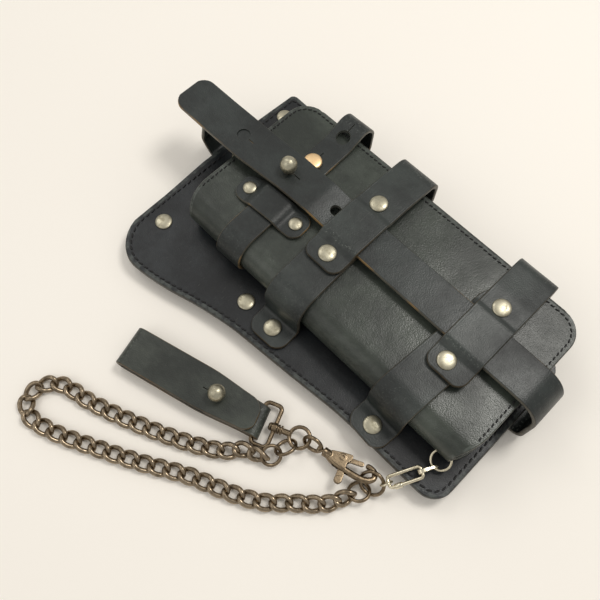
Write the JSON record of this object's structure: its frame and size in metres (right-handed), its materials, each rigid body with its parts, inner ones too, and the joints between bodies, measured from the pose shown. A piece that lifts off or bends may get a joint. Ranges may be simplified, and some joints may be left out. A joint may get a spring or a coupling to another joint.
{
  "type": "belt pouch",
  "caption": "Dark leather belt pouch: a folded wallet strapped to a stitched back plate with belt loops, with rivets, a long stud strap, a loose loop, a curb chain and a snap hook.",
  "frame": {"origin": "on the back plate's rear face, on its centre line and half way along the belt loops, where the belt lies", "axes": "+Z out of the front of the pouch, +Y up its length towards the strap's free tip, +X towards the wallet's open side; the belt runs along X"},
  "size_m": [0.2486, 0.2636, 0.0534],
  "materials": {
    "leather": "satin",
    "rivet_metal": "satin",
    "bronze": "satin",
    "antique_metal": "satin",
    "nickel": "polished",
    "copper": "satin"
  },
  "bodies": {
    "root": {"backing_panel": "leather", "belt_loop_left": "leather", "belt_loop_right": "leather", "rivet_belt_left_upper": "rivet_metal", "rivet_belt_left_lower": "rivet_metal", "rivet_belt_right_upper": "rivet_metal", "rivet_belt_right_lower": "rivet_metal", "wallet_cover": "leather", "wallet_lining": "leather", "pocket_upper": "leather", "pocket_lower": "leather", "closure_strap": "leather", "closure_stud": "copper", "keeper_tab": "leather", "rivet_keeper_upper": "rivet_metal", "rivet_keeper_lower": "rivet_metal", "cross_strap_upper_left": "leather", "cross_strap_upper_right": "leather", "rivet_cross_upper_inner": "rivet_metal", "rivet_cross_upper_outer": "rivet_metal", "rivet_strap_end_upper": "rivet_metal", "cross_strap_lower_left": "leather", "cross_strap_lower_right": "leather", "rivet_cross_lower_inner": "rivet_metal", "rivet_cross_lower_outer": "rivet_metal", "rivet_strap_end_lower": "rivet_metal", "rivet_upper_strap_return": "rivet_metal", "rivet_lower_strap_return": "rivet_metal", "rivet_long_strap_return": "rivet_metal", "rivet_tab_return": "rivet_metal", "stud_tab": "leather", "long_strap": "leather", "ball_stud": "rivet_metal", "side_loop": "leather", "side_loop_stud": "rivet_metal", "square_ring": "antique_metal", "swivel_eye": "antique_metal", "ring_open": "antique_metal", "ring_chain_start": "antique_metal", "ring_chain_end": "antique_metal", "ring_hook": "antique_metal", "hook_eye": "antique_metal", "hook_body": "antique_metal", "chain": "bronze", "wallet_ring": "nickel", "clip_frame": "nickel", "clip_ring": "nickel", "clip_tongue": "nickel"},
    "lever": {"hook_lever": "antique_metal"}
  },
  "joints": [
    {"name": "hook_lever_hinge", "type": "hinge", "parent": "root", "child": "lever", "pos_m": [-0.06674, -0.13251, -0.00021], "axis": [-0.1157, -0.067, -0.991], "range_deg": [0, 20], "stiffness_Nm_per_rad": 0.02, "springref_deg": -20.05}
  ]
}
